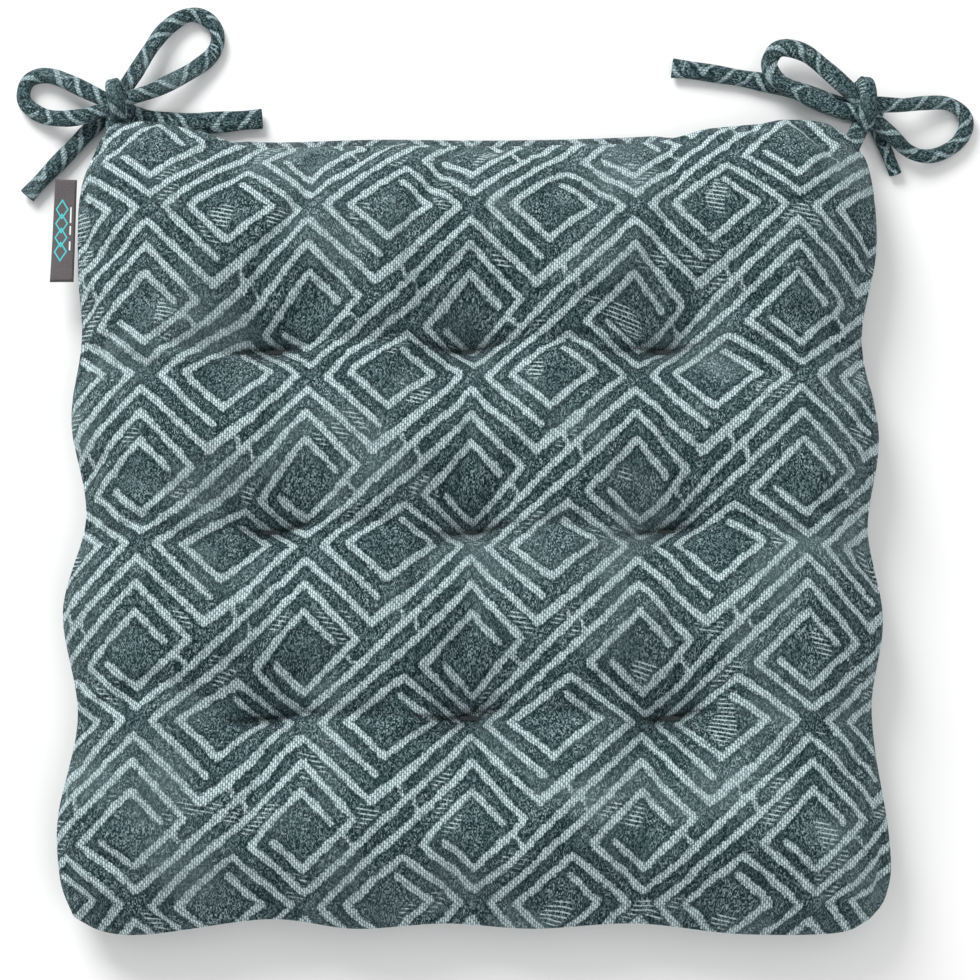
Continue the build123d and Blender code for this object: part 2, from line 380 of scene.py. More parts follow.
def jacquard(name, swell=0.0, tone=1.0, fleck=1.0, yarn=(0.57, 0.69, 0.715, 1)):
    """The pad's cloth, with shade painted into the tuft folds: tone scales its colour, swell widens its light
    lines, fleck mottles it more.
    """
    material, n, shader = principled(name, 0.88)
    cloth = n.node("ShaderNodeUVMap", uv_map="Fabric")
    edge = n.node("ShaderNodeAttribute", attribute_name="figure_edge")
    weave = n.node("ShaderNodeGroup")
    weave.node_tree = CHENILLE
    n.join(cloth.outputs[0], weave.inputs["Cloth"])
    n.join(edge.outputs["Fac"], weave.inputs["Figure edge"])
    weave.inputs["Line swell"].default_value = swell
    weave.inputs["Fleck"].default_value = fleck
    weave.inputs["Light yarn"].default_value = yarn
    # painted shade: the colour darkens by up to nine tenths along the folds at the tufts, read from the
    # crease attribute; tone then scales the whole colour
    fold = n.node("ShaderNodeAttribute", attribute_name="crease")
    colour = weave.outputs["Colour"]
    fold_shade_and_tone = n.math("MULTIPLY", n.math("SUBTRACT", 1.0, n.math("MULTIPLY", fold.outputs["Fac"], 0.9)), tone)
    colour = n.mix(1.0, colour, n.xyz(fold_shade_and_tone, fold_shade_and_tone, fold_shade_and_tone), "MULTIPLY")
    n.join(colour, shader.inputs["Base Color"])
    n.bump(shader, weave.outputs["Relief"], 0.0007, 0.75)
    shader.inputs["Specular IOR Level"].default_value = 0.12
    shader.inputs["Sheen Weight"].default_value = 0.11
    shader.inputs["Sheen Roughness"].default_value = 0.45
    shader.inputs["Sheen Tint"].default_value = (0.66, 0.84, 0.88, 1)
    return material


def thread_material(name, colour, pitch):
    """Twisted sewing thread: slanted ply lines with a soft shine."""
    material, n, shader = principled(name, 0.55)
    spot = n.in_mm(n.node("ShaderNodeTexCoord").outputs["Object"])
    x, y = n.split(spot)
    slant = n.math("ADD", x, n.math("MULTIPLY", y, 1.3))
    ply = n.math("SINE", n.math("MULTIPLY", slant, 2 * math.pi / pitch))
    fuzz = n.noise(spot, 3.0, 2.0)
    share = n.math("ADD", n.math("MULTIPLY", ply, 0.3), fuzz)
    between = tuple(c * 0.45 for c in colour[:3]) + (1,)
    n.join(n.mix(n.ramp(share, 0.2, 0.9), between, colour), shader.inputs["Base Color"])
    n.bump(shader, ply, 0.0002)
    shader.inputs["Sheen Weight"].default_value = 0.2
    return material


def fibre_material():
    """Loose white polyester fibre."""
    material, n, shader = principled("fibre_filling", 0.95)
    curl = n.noise(n.in_mm(n.node("ShaderNodeTexCoord").outputs["Object"]), 0.35, 5.0, 0.75)
    white = n.mix(n.ramp(curl, 0.3, 0.7), (0.62, 0.62, 0.6, 1), (0.9, 0.9, 0.88, 1))
    n.join(white, shader.inputs["Base Color"])
    n.bump(shader, curl, 0.002)
    return material


def label_material():
    """Dense satin ribbon with a woven mark of plain lozenges and bars. Lengths are in mm."""
    material, n, shader = principled("woven_label", 0.5)
    cloth = n.in_mm(n.node("ShaderNodeUVMap", uv_map="Fabric").outputs[0])
    x, y = n.split(cloth)
    rib = n.math("SINE", n.math("MULTIPLY", y, 2 * math.pi / 0.55))
    cross = n.math("SINE", n.math("MULTIPLY", x, 2 * math.pi / 0.7))
    grain = n.noise(cloth, 1.6, 3.0)
    base = n.mix(n.ramp(n.math("ADD", n.math("MULTIPLY", rib, 0.22), grain), 0.25, 0.85),
                 (0.035, 0.028, 0.031, 1), (0.105, 0.086, 0.092, 1))

    def apart(value, middle):
        return n.math("ABSOLUTE", n.math("SUBTRACT", value, middle))

    def within(gap, half):
        return n.ramp(gap, half, half + 0.18, 1.0, 0.0)

    def lozenge(middle):
        away = n.math("ADD", apart(x, 1.3), n.math("MULTIPLY", apart(y, middle), 0.62))
        return within(apart(away, 2.9), 0.3)

    def bar(middle, half):
        return n.math("MULTIPLY", within(apart(x, -3.2), 0.3), within(apart(y, middle), half))

    turquoise = lozenge(11.0)
    for middle in (3.7, -3.6, -10.9):
        turquoise = n.math("MAXIMUM", turquoise, lozenge(middle))
    white = bar(8.0, 4.0)
    for middle in (0.0, -8.0):
        white = n.math("MAXIMUM", white, bar(middle, 2.2))
    colour = n.mix(turquoise, base, (0.03, 0.56, 0.58, 1))
    colour = n.mix(white, colour, (0.72, 0.78, 0.78, 1))
    n.join(colour, shader.inputs["Base Color"])
    ribbed = n.math("ADD", rib, n.math("MULTIPLY", cross, 0.5))
    marked = n.math("MULTIPLY", n.math("MAXIMUM", turquoise, white), 2.0)
    n.bump(shader, n.math("ADD", ribbed, marked), 0.00012, 0.5)
    shader.inputs["Sheen Weight"].default_value = 0.15
    return material


TOP_CLOTH = jacquard("jacquard_top")
BOTTOM_CLOTH = jacquard("jacquard_bottom", tone=0.8)
TIE_CLOTH = jacquard("tie_cloth", swell=-0.55, fleck=0.8, yarn=(0.36, 0.475, 0.5, 1))
DARK_THREAD = thread_material("sewing_thread", (0.016, 0.032, 0.038, 1), 0.8)
FIBRE = fibre_material()
LABEL = label_material()

# ------------------------------------------------------------------ camera

PIVOT = Vector((4.0 * MM, -2.4 * MM, 0.0))
TILT = math.radians(12.0)
REACH = 1.2866
camera_data = bpy.data.cameras.new("camera")
camera = link(bpy.data.objects.new("camera", camera_data))
camera.location = PIVOT + REACH * Vector((0.0, -math.sin(TILT), math.cos(TILT)))
camera.rotation_euler = (TILT, 0.0, 0.0)
camera_data.sensor_width = 36.0
camera_data.lens = 95.9
camera_data.shift_x = 0.0158
camera_data.shift_y = 0.0429
camera_data.clip_end = 20.0
scene.camera = camera

# ------------------------------------------------------------------ the ties


STRIP_STEP = 0.8  # mm between the rings of a strip
STRIP_ROUND = 27  # mm of cloth round a strip


def route_line(name, points):
    """Places along the smooth line of a tie: the NURBS spline of its route, as plain points in metres."""
    data = bpy.data.curves.new(name, "CURVE")
    data.dimensions = "3D"
    data.resolution_u = 14
    spline = data.splines.new("NURBS")
    spline.points.add(len(points) - 1)
    for point, place in zip(spline.points, points):
        point.co = (place[0] * MM, place[1] * MM, place[2] * MM, 1.0)
    spline.order_u = 3
    spline.use_endpoint_u = True
    holder = link(bpy.data.objects.new(name, data))
    bpy.context.view_layer.update()
    mesh = bpy.data.meshes.new_from_object(holder)
    line = np.array([v.co for v in mesh.vertices])
    bpy.data.objects.remove(holder)
    bpy.data.meshes.remove(mesh)
    return line


def even(line, step):
    run = np.concatenate([[0], np.cumsum(np.linalg.norm(np.diff(line, axis=0), axis=1))])
    count = max(8, int(round(run[-1] / step)) + 1)
    at = np.linspace(0, run[-1], count)
    return np.stack([np.interp(at, run, line[:, k]) for k in range(3)], 1), at


def tie_strand(name, points, cloth_at, seed, width, thick, end_open=False):
    """A soft folded strip that follows its route: a flattened tube with small creases and a sewn edge."""
    line = route_line(name, points)
    path, at = even(line, STRIP_STEP * MM)
    count = len(path)
    tangent = np.gradient(path, axis=0)
    tangent /= np.linalg.norm(tangent, axis=1)[:, None]
    up = np.array([0.0, 0.0, 1.0])
    side = np.cross(up, tangent)
    side /= np.linalg.norm(side, axis=1)[:, None]
    top = np.cross(tangent, side)
    bend = np.linalg.norm(np.gradient(tangent, axis=0), axis=1) / STRIP_STEP
    bend = np.convolve(np.pad(bend, 4, mode="edge"), np.ones(9) / 9, mode="valid")
    ring = 36
    r = np.random.default_rng(seed)
    phases = r.uniform(0, 2 * math.pi, 6)
    verts, cloth = [], []
    for i in range(count):
        run = at[i] / MM
        tight = min(1.0, bend[i] / 0.09)
        swell = 1 + 0.05 * math.sin(run / 9.0 + phases[0]) + 0.04 * math.sin(run / 4.1 + phases[1])
        w = width / 2 * MM * swell * (1 - 0.10 * tight)
        h = thick / 2 * MM * (1.0 + 0.12 * tight) * (1 + 0.06 * math.sin(run / 6.3 + phases[2]))
        if end_open:
            flat = max(0.0, 1 - (at[-1] - at[i]) / (9 * MM))
            h *= 1 - 0.28 * flat
            w *= 1 + 0.05 * flat
        for k in range(ring):
            angle = 2 * math.pi * k / ring
            ca, sa = math.cos(angle), math.sin(angle)
            ex = math.copysign(abs(ca) ** 0.82, ca)
            ey = math.copysign(abs(sa) ** 0.92, sa)
            crease = 0.16 * MM * math.sin(5 * angle + run / 2.6 + phases[3]) * tight
            crease += 0.12 * MM * math.sin(3 * angle + run / 7.0 + phases[4])
            fold = -0.35 * MM * math.exp(-((angle - math.radians(205)) / 0.16) ** 2)
            out = side[i] * ex * w + top[i] * ey * h
            out = out * (1 + (crease + fold) / max(np.linalg.norm(out), 1e-6))
            verts.append(path[i] + out)
            cloth.append((cloth_at[0] * MM + (k / ring) * STRIP_ROUND * MM, cloth_at[1] * MM + at[i]))
    faces = ring_faces(0, count - 1, ring)
    # turned-in ends: the strip's mouth is folded in, then closed
    for base, toward, deep in ((0, -1, 0.5), (count - 1, 1, 0.8)):
        previous = [base * ring + k for k in range(ring)]
        centre = path[base]
        steps = ((0.86, 0.25), (0.72, 0.1 if end_open else 0.45), (0.4, -0.5 if end_open else 0.6))
        for share_in, push in steps:
            start = len(verts)
            outward = tangent[base] * toward * push * deep * MM
            for k in range(ring):
                verts.append(centre + (verts[base * ring + k] - centre) * share_in + outward)
                cloth.append(cloth[base * ring + k])
            current = [start + k for k in range(ring)]
            for k in range(ring):
                k2 = (k + 1) % ring
                quad = (previous[k], previous[k2], current[k2], current[k])
                faces.append(quad if toward > 0 else quad[::-1])
            previous = current
        faces.append(tuple(previous) if toward > 0 else tuple(previous[::-1]))
    obj = mesh_object(name, verts, faces)
    set_figure(obj, np.array(cloth))
    obj.data.materials.append(TIE_CLOTH)
    return obj, path, at[-1]


STRANDS = [
    # name, CAD node, route, cloth start, body, strip width and thickness, open end
    ("left_loop_long", "left_tie_loop_long", [
        (-178, 219, 9.5), (-169, 232.5, 10), (-161, 248, 8), (-153, 262, 5), (-140, 270, 3.8),
        (-128, 262, 3.7), (-127, 249.5, 3.7), (-136.5, 239, 4.6), (-150, 229.5, 8.5), (-163.5, 221, 13),
        (-177, 217.5, 13.5)], (11, 30), "left_bow", 8.3, 5.4, False),
    ("left_loop_short", "left_tie_loop_short", [
        (-179, 217, 11.6), (-190, 222, 11.4), (-202, 230, 7.5), (-215, 236, 4.6), (-225.5, 231.5, 3.8),
        (-226, 219.5, 3.7), (-215, 211.5, 5.5), (-202, 209, 10.5), (-190, 210, 12), (-180, 215, 11.6)],
     (40, 5), "left_bow", 8.3, 5.4, False),
    ("left_tail_back", "left_tie_tail_back", [
        (-178, 217, 3.9), (-165, 211.5, 3.8), (-149, 209.3, 3.7), (-127, 209.5, 3.7), (-104, 211.5, 3.7)],
     (25, 60), "left_bow", 10.6, 4.8, True),
    ("left_tail_side", "left_tie_tail_side", [
        (-178, 218, 3.9), (-190.5, 207, 3.8), (-199.5, 196.5, 3.7), (-209, 185.5, 3.7), (-222, 170.5, 3.7)],
     (5, 12), "left_tail", 8.4, 4.8, True),
    ("right_loop_long", "right_tie_loop_long", [
        (203, 214.5, 11.6), (193, 224, 12.4), (183, 234.5, 12), (172, 245, 11.5), (159, 248, 11),
        (152.5, 239.5, 11), (156, 229.5, 11.2), (167, 223.5, 12), (179, 217, 12.8), (190, 211.3, 13.4),
        (202, 210.5, 13)], (33, 45), "right_bow", 9.3, 5.8, False),
    ("right_loop_short", "right_tie_loop_short", [
        (204, 216, 13), (217, 215, 12.5), (230, 218.5, 8), (245, 220.5, 4), (255.5, 213, 3.7),
        (251, 199, 3.7), (238, 191, 3.8), (225, 190.5, 7.5), (214, 200, 13), (205.5, 208.6, 11.6)],
     (20, 22), "right_bow", 7.6, 5.2, False),
    ("right_tail_back", "right_tie_tail_back", [
        (202, 215.5, 3.9), (190, 219, 3.8), (172, 226, 3.7), (151, 231.5, 3.7), (128, 236, 3.7),
        (105, 239, 3.7)], (52, 8), "right_bow", 9.4, 4.8, True),
    ("right_tail_side", "right_tie_tail_side", [
        (201.5, 219.5, 4.6), (204.5, 212, 3.9), (209, 203, 3.8), (213.5, 193.5, 3.7), (217, 182, 3.7)],
     (14, 70), "right_tail", 6.2, 4.8, True),
]
strands = {}
for index, (name, node, route, cloth_at, body, width, thick, mouth) in enumerate(STRANDS):
    piece, path, length = tie_strand(name, route, cloth_at, 20 + index, width, thick, end_open=mouth)
    strands[name] = (piece, path, length, width, mouth)
    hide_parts(node)
    if body.endswith("tail"):
        body.split("_")[0] + "_bow"
        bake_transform(piece)
    else:
        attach(piece, body)


def knot_pieces(side, knot, arch, core_size, seed):
    """The wrap that crosses over the bow, and the gathered cloth under it."""
    band = tie_strand(f"{side}_knot_band", arch, (30 + seed, 40), 60 + seed, width=9.5, thick=6.0)[0]
    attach(band, f"{side}_bow")
    count_u, count_v = 40, 24
    verts, cloth = [], []
    phase = np.random.default_rng(seed).uniform(0, 6.28, 4)
    for j in range(count_v + 1):
        lat = -math.pi / 2 + math.pi * j / count_v
        for i in range(count_u):
            lon = 2 * math.pi * i / count_u
            pleat = 1 + 0.05 * math.sin(7 * lon + phase[0]) + 0.04 * math.sin(4 * lon + 3 * lat + phase[1])
            radial = abs(math.cos(lat)) ** 0.8 * pleat
            verts.append((knot[0] * MM + core_size[0] * MM * radial * math.cos(lon),
                          knot[1] * MM + core_size[1] * MM * radial * math.sin(lon),
                          knot[2] * MM + core_size[2] * MM * math.sin(lat)))
            cloth.append((i / count_u * 0.04, j / count_v * 0.02 + seed * 0.01))
    core = mesh_object(f"{side}_knot_core", verts, ring_faces(0, count_v, count_u))
    core.data.validate()
    set_figure(core, np.array(cloth))
    core.data.materials.append(TIE_CLOTH)
    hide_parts(f"{side}_tie_knot")
    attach(core, f"{side}_bow")


knot_pieces("left", (-176.5, 215.5, 8.0),
            [(-174.5, 209.5, 6), (-175, 208.5, 12), (-175.5, 211.5, 17.5), (-177, 217.5, 19.5),
             (-178.5, 225, 17), (-179, 227, 9), (-178.5, 224, 4.5)], (8.0, 9.5, 7.6), 1)
knot_pieces("right", (203.0, 213.5, 8.0),
            [(200, 205, 6), (200.5, 204, 13), (201.5, 208, 18.5), (202.5, 216, 19.8), (202, 225, 17.5),
             (201, 228, 10), (201.5, 224, 5)], (8.0, 9.5, 7.6), 2)


def tie_root(side, points):
    """The strip that comes out of the seam and runs into the knot."""
    root = tie_strand(f"{side}_root", points, (12, 80), 90, width=9.5, thick=4.6)[0]
    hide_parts(f"{side}_tie_root", f"{side}_tie_neck")
    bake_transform(root)


tie_root("left", [(-176, 188, 19), (-177, 196, 17), (-178, 205, 11), (-178, 214, 8.5)])
tie_root("right", [(192, 190, 19), (195, 196.5, 17), (199, 204.5, 11), (202, 211, 8.5)])

# each strand's side, taken from its name
for name, (piece, path, length, width, mouth) in strands.items():
    side = name.split("_")[0]

# ------------------------------------------------------------------ the pad
# Each side of the sewn outline, from its left or front end, in millimetres.
SEWN = 0.985
SHIFT = np.array([0.7, -0.7])
BACK = [(-187, 198), (-175, 206.5), (-158, 207.5), (-140, 203.5), (-115, 199.5), (-95, 198.5), (-46, 200),
        (2, 199.5), (50, 200), (98, 202), (142, 206), (168, 208.5), (184, 206.5), (194, 199)]
RIGHT = [(192, -195), (200, -184), (203, -160), (196, -97), (203, -50), (197, -5), (204, 42), (197, 92),
         (206, 140), (203.5, 182), (194, 199)]
FRONT = [(-188, -194), (-173, -201), (-150, -202), (-95, -195), (-54, -199.5), (-10, -197), (32, -199.5),
         (80, -197), (130, -202), (176, -201.5), (192, -195)]
LEFT = [(-188, -194), (-195, -176), (-197, -145), (-189, -97), (-198, -46), (-188, 2), (-197, 50), (-193, 92),
        (-196.3, 130), (-196, 170), (-187, 198)]
BACK_IN = 5.0  # the middle of the back seam lies this much further in than the fold seen from above
SEAM_Z = 20.0
BASE_Z = 0.5
LOFT = 26.5  # the filling's rise above the seam
TOP_LIMIT = 50.5
TACK_Z = 21.5  # where the bar tacks hold the top panel
TUFT_MIDDLE = (1.5, -7.5)
TUFT_STEP = (95.5, 90.5)
TUFTS = [(TUFT_MIDDLE[0] + TUFT_STEP[0] * c, TUFT_MIDDLE[1] + TUFT_STEP[1] * r)
         for r in (1, 0, -1) for c in (-1, 0, 1)]
# the folds at a tuft: reach and width in mm, slant, curve, depth
FOLDS = ((24.0, 1.5, 0.06, 0.006, 1.0), (13.0, 1.1, 0.55, 0.01, 0.5), (13.0, 1.1, -0.5, 0.01, 0.5))
PANEL_CELLS = 132
CLOTH_FRAMES = 26
CLOTH_REACH = 12.0  # the furthest that the cloth may move from its first shape


def plan_grid(cells):
    """Places of a square grid laid over the sewn outline, in mm."""
    n = cells + 1
    back, right, front, left = [(smooth_path(side, n) * SEWN + SHIFT) for side in (BACK, RIGHT, FRONT, LEFT)]
    x = back[:, 0]
    back[:, 1] -= BACK_IN * np.clip((118 - x) / 22, 0, 1) ** 0.8 * np.clip((x + 132) / 22, 0, 1) ** 0.8
    u = np.linspace(0, 1, n)[None, :, None]
    v = np.linspace(0, 1, n)[:, None, None]
    grid = (1 - v) * front[None] + v * back[None] + (1 - u) * left[:, None] + u * right[:, None]
    grid -= (1 - u) * (1 - v) * front[0] + u * (1 - v) * front[-1] + (1 - u) * v * back[0] + u * v * back[-1]
    return grid


def grid_faces(n):
    return [(j * n + i, j * n + i + 1, (j + 1) * n + i + 1, (j + 1) * n + i)
            for j in range(n - 1) for i in range(n - 1)]


def edge_gap(grid):
    """Millimetres from each grid place to the outline."""
    rim = np.concatenate([grid[0], grid[-1], grid[:, 0], grid[:, -1]])
    flat = grid.reshape(-1, 2)
    gap = np.full(len(flat), 1e9)
    for spot in rim:
        gap = np.minimum(gap, np.hypot(flat[:, 0] - spot[0], flat[:, 1] - spot[1]))
    return gap.reshape(grid.shape[:2])


def tuft_dip(x, y, reach, power=2.0):
    """How far each place is into a tuft, 1 on the sewn bar and 0 away from it."""
    dip = np.zeros_like(x)
    for tx, ty in TUFTS:
        dx = np.maximum(0, np.abs(x - tx) - 4.0)
        dip = np.maximum(dip, np.exp(-(np.hypot(dx, y - ty) / reach) ** power))
    return dip


def gathered(places):
    """Cloth coordinates, with extra cloth drawn in at each tuft, more along the pad than across."""
    cloth = places.copy()
    for tx, ty in TUFTS:
        gap = places - np.array([tx, ty]) * MM
        pull = np.exp(-(np.hypot(gap[:, 0], gap[:, 1] * 1.2) / (21 * MM)) ** 2)
        cloth += gap * pull[:, None] * np.array([0.24, 0.42])
    return cloth


def creases(x, y):
    """The sharp folds that run out from each tuft, 1 in the middle of a fold."""
    r = np.random.default_rng(12)
    total = np.zeros_like(x)
    for tx, ty in TUFTS:
        for reach, width, slant, curve, depth in FOLDS:
            dx = x - tx - r.uniform(-5, 5)
            bent = ty + 1.0 + dx * (slant + r.uniform(-0.08, 0.08)) + curve * r.uniform(-1, 1) * dx ** 2
            bent = bent + 0.8 * np.sin(dx / r.uniform(4, 7) + r.uniform(0, 6))
            taper = np.exp(-(np.abs(dx) / reach / r.uniform(0.75, 1.15)) ** 3)
            spread = width * (1.15 - 0.5 * np.clip(np.abs(dx) / reach, 0, 1))
            total = np.maximum(total, taper * np.exp(-((y - bent) / spread) ** 2) * depth)
    return total


def puckers(x, y):
    """Small gathers that fan out from each tuft, in mm."""
    total = np.zeros_like(x)
    for index, (tx, ty) in enumerate(TUFTS):
        r = np.random.default_rng(80 + index)
        far = np.hypot(x - tx, y - ty)
        turn = np.arctan2(y - ty, x - tx)
        fan = np.cos(5 * turn + r.uniform(0, 6)) + 0.8 * np.cos(8 * turn + r.uniform(0, 6) + far / 14)
        total += fan * np.exp(-(far / 26) ** 2) * np.clip(far / 9, 0, 1)
    return total


def seam_height(x, y):
    """The seam's height, which wavers a little round the pad."""
    return SEAM_Z + 1.0 * waves(x, y, 5, 60)


def cloth_top():
    """The top panel: cut a little large, held at the seam and the tufts, and blown up by its filling."""
    n = PANEL_CELLS + 1
    plan = plan_grid(PANEL_CELLS)
    x, y = plan[..., 0], plan[..., 1]
    gap = edge_gap(plan)
    dome = 1 - np.clip(1 - gap / 52.0, 0, 1) ** 2.4
    valley = np.zeros_like(x)
    for ty in sorted({t[1] for t in TUFTS}):
        inside = np.clip((130 - np.abs(x - TUFT_MIDDLE[0])) / 40, 0, 1)
        valley = np.maximum(valley, 0.30 * inside * np.exp(-np.abs(y - ty) / 13.0))
    for tx in sorted({t[0] for t in TUFTS}):
        inside = np.clip((130 - np.abs(y - TUFT_MIDDLE[1])) / 40, 0, 1)
        valley = np.maximum(valley, 0.22 * inside * np.exp(-np.abs(x - tx) / 16.0))
    dent = np.maximum(valley, 0.96 * tuft_dip(x, y, 21.0, 1.05))
    z = SEAM_Z + LOFT * dome * (1 - dent) + 1.4 * waves(x, y, 3, 60)
    rim = np.zeros((n, n), bool)
    rim[0], rim[-1], rim[:, 0], rim[:, -1] = True, True, True, True
    z[rim] = seam_height(x, y)[rim]
    bar = np.zeros((n, n), bool)
    for tx, ty in TUFTS:
        bar |= (np.abs(x - tx) < 5.5) & (np.abs(y - ty) < 0.55 * 395 / PANEL_CELLS)
    z[bar] = TACK_Z
    held = (rim | bar).ravel()
    verts = np.stack([x, y, z], -1).reshape(-1, 3) * MM
    obj = mesh_object("top_panel", verts, grid_faces(n))
    pins = obj.vertex_groups.new(name="sewn")
    pins.add([int(i) for i in np.flatnonzero(held)], 1.0, "REPLACE")
    cloth = obj.modifiers.new("cloth", "CLOTH")
    s = cloth.settings
    s.quality = 7
    s.mass = 0.25
    s.tension_stiffness = 26
    s.compression_stiffness = 20
    s.shear_stiffness = 9
    s.bending_stiffness = 0.35
    s.air_damping = 2.0
    s.tension_damping = 8
    s.compression_damping = 8
    s.vertex_group_mass = "sewn"
    s.shrink_min = -0.035
    s.use_pressure = True
    s.uniform_pressure_force = 5.0
    s.effector_weights.gravity = 0.0
    cloth.collision_settings.use_collision = False
    cloth.collision_settings.use_self_collision = False
    cloth.point_cache.frame_start = 1
    cloth.point_cache.frame_end = CLOTH_FRAMES + 4
    for step in range(1, CLOTH_FRAMES + 1):
        scene.frame_set(step)
    posed = obj.evaluated_get(bpy.context.evaluated_depsgraph_get())
    moved = np.array([v.co for v in posed.data.vertices]) / MM
    obj.modifiers.clear()
    scene.frame_set(1)
    start = verts / MM
    change = moved - start
    size = np.linalg.norm(change, axis=1)
    change *= np.minimum(1.0, CLOTH_REACH / np.maximum(size, 1e-6))[:, None]
    final = start + change
    px, py = x.ravel(), y.ravel()
    final[:, 2] += np.where(held, 0, 0.9 * puckers(px, py) - 4.5 * creases(px, py))
    final[:, 2] = np.minimum(final[:, 2], TOP_LIMIT)
    obj.data.vertices.foreach_set("co", (final * MM).ravel())
    return obj, plan, final.reshape(n, n, 3)


def finish_panel(obj, plan):
    """Subdivides the panel and gives it its cloth coordinates, its bake map and its smooth shading."""
    flat = plan.reshape(-1, 2) * MM
    low, high = flat.min(0), flat.max(0)
    add_uv(obj.data, "Plan", flat)
    add_uv(obj.data, "OFBake", (flat - low) / (high - low).max() * 0.98 + 0.01)
    sub = obj.modifiers.new("smooth", "SUBSURF")
    sub.levels = 1
    sub.render_levels = 1
    sub.uv_smooth = "PRESERVE_BOUNDARIES"
    ready = bpy.data.meshes.new_from_object(obj.evaluated_get(bpy.context.evaluated_depsgraph_get()))
    obj.modifiers.clear()
    obj.vertex_groups.clear()
    obj.data = ready
    index = corner_vertices(ready)
    uv = np.zeros(len(ready.loops) * 2, np.float32)
    ready.uv_layers["Plan"].data.foreach_get("uv", uv)
    places = np.zeros((len(ready.vertices), 2))
    places[index] = uv.reshape(-1, 2)
    ready.uv_layers.remove(ready.uv_layers["Plan"])
    ready.shade_smooth()
    set_figure(obj, gathered(places))
    # the folds' strength is kept as the crease attribute, which the cloth's material uses to paint shade into
    # the folds
    if obj.name == "top_panel":
        fold = ready.attributes.new("crease", "FLOAT", "POINT")
        depth = creases(places[:, 0] / MM, places[:, 1] / MM)
        fold.data.foreach_set("value", depth.astype(np.float32))


top_panel, top_plan, top_shape = cloth_top()
finish_panel(top_panel, top_plan)
top_panel.data.materials.append(TOP_CLOTH)
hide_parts("top_cover")
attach(top_panel, "pad")


def bottom_shape():
    """The underside: flat where it rests, rounding up to the seam, standing proud of the top panel behind."""
    plan = plan_grid(PANEL_CELLS)
    x, y = plan[..., 0].copy(), plan[..., 1].copy()
    gap = edge_gap(plan)
    low = np.clip(1 - gap / 24.0, 0, 1)
    z = BASE_Z + (SEAM_Z - BASE_Z) * low ** 2.6
    z += 3.2 * tuft_dip(x, y, 16.0) * (gap > 20) + 0.25 * np.abs(waves(x, y, 9, 90)) * (low == 0)
    z = np.where(gap < 0.01, seam_height(x, y), z)
    bulge = np.sin(np.clip(gap / 22.0, 0, 1) * math.pi) * 3.0
    middle = np.clip((118 - x) / 22, 0, 1) * np.clip((x + 132) / 22, 0, 1)
    back = np.clip((y - 150) / 30, 0, 1) * middle * np.sin(np.clip(gap / 14.0, 0, 1) * math.pi) * 11.0
    rounder = np.maximum(np.abs(x), np.abs(y))
    x += bulge * x / rounder * (np.abs(x) > 150)
    y += bulge * y / rounder * (np.abs(y) > 150) + back
    return plan, np.stack([x, y, z], -1)


bottom_plan, bottom_form = bottom_shape()
bottom_faces = [f[::-1] for f in grid_faces(PANEL_CELLS + 1)]
bottom_panel = mesh_object("bottom_panel", bottom_form.reshape(-1, 3) * MM, bottom_faces)
finish_panel(bottom_panel, bottom_plan * np.array([1.0, 1.12]))
bottom_panel.data.materials.append(BOTTOM_CLOTH)
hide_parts("bottom_cover")
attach(bottom_panel, "pad")


def filling_piece():
    """The fibre batt, a little inside both panels."""
    step = max(1, (top_shape.shape[0] - 1) // 44)
    upper = top_shape[::step, ::step].copy()
    m = upper.shape[0]
    plan = plan_grid(m - 1)
    gap = edge_gap(plan)
    shrink = 1 - 7.0 / 200
    x = plan[..., 0] * shrink
    y = plan[..., 1] * shrink - 1.0
    dip = tuft_dip(x, y, 9.0)
    high = np.maximum(SEAM_Z - 0.6, (upper[..., 2] - SEAM_Z) * 0.72 + SEAM_Z - 4.0 - 8.0 * dip)
    low = 3.0 + (SEAM_Z - 3.6) * np.clip(1 - gap / 24.0, 0, 1) ** 2.2 + 4.0 * tuft_dip(x, y, 18.0)
    low = np.minimum(low, high - 0.8)
    verts = np.concatenate([np.stack([x, y, z], -1).reshape(-1, 3) for z in (high, low)]) * MM
    faces = grid_faces(m) + [tuple(m * m + k for k in f[::-1]) for f in grid_faces(m)]
    rim = list(range(m)) + [j * m + m - 1 for j in range(1, m)]
    rim += [(m - 1) * m + i for i in range(m - 2, -1, -1)] + [j * m for j in range(m - 2, 0, -1)]
    for a, b in zip(rim, rim[1:] + rim[:1]):
        faces.append((a, m * m + a, m * m + b, b))
    obj = mesh_object("fibre_filling", verts, faces)
    obj.data.materials.append(FIBRE)
    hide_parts("filling")
    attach(obj, "pad")


filling_piece()


def seam_ring(name, inset, outset, low, high, material, node):
    """A band inside the seam, all the way round."""
    sides = plan_grid(100)
    loop = np.concatenate([sides[0, :-1], sides[:-1, -1], sides[-1, :0:-1], sides[:0:-1, 0]])
    ahead = np.roll(loop, -1, 0) - np.roll(loop, 1, 0)
    ahead /= np.linalg.norm(ahead, axis=1)[:, None]
    inward = np.stack([-ahead[:, 1], ahead[:, 0]], 1)
    verts, faces = [], []
    count = len(loop)
    for i in range(count):
        for inwards, z in ((inset, low), (outset, low), (outset, high), (inset, high)):
            spot = loop[i] + inward[i] * inwards
            verts.append((spot[0] * MM, spot[1] * MM, z * MM))
    for i in range(count):
        j = (i + 1) % count
        for k in range(4):
            k2 = (k + 1) % 4
            faces.append((i * 4 + k, i * 4 + k2, j * 4 + k2, j * 4 + k))
    obj = mesh_object(name, verts, faces, smooth=False)
    set_figure(obj, np.array(verts)[:, :2])
    obj.data.materials.append(material)
    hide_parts(node)
    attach(obj, "pad")


seam_ring("seam_turning", 4.0, 10.0, 17.8, 18.8, BOTTOM_CLOTH, "seam_allowance")
seam_ring("seam_stitching", 5.5, 6.2, 18.8, 19.3, DARK_THREAD, "seam_thread")

# ------------------------------------------------------------------ tuft stitches


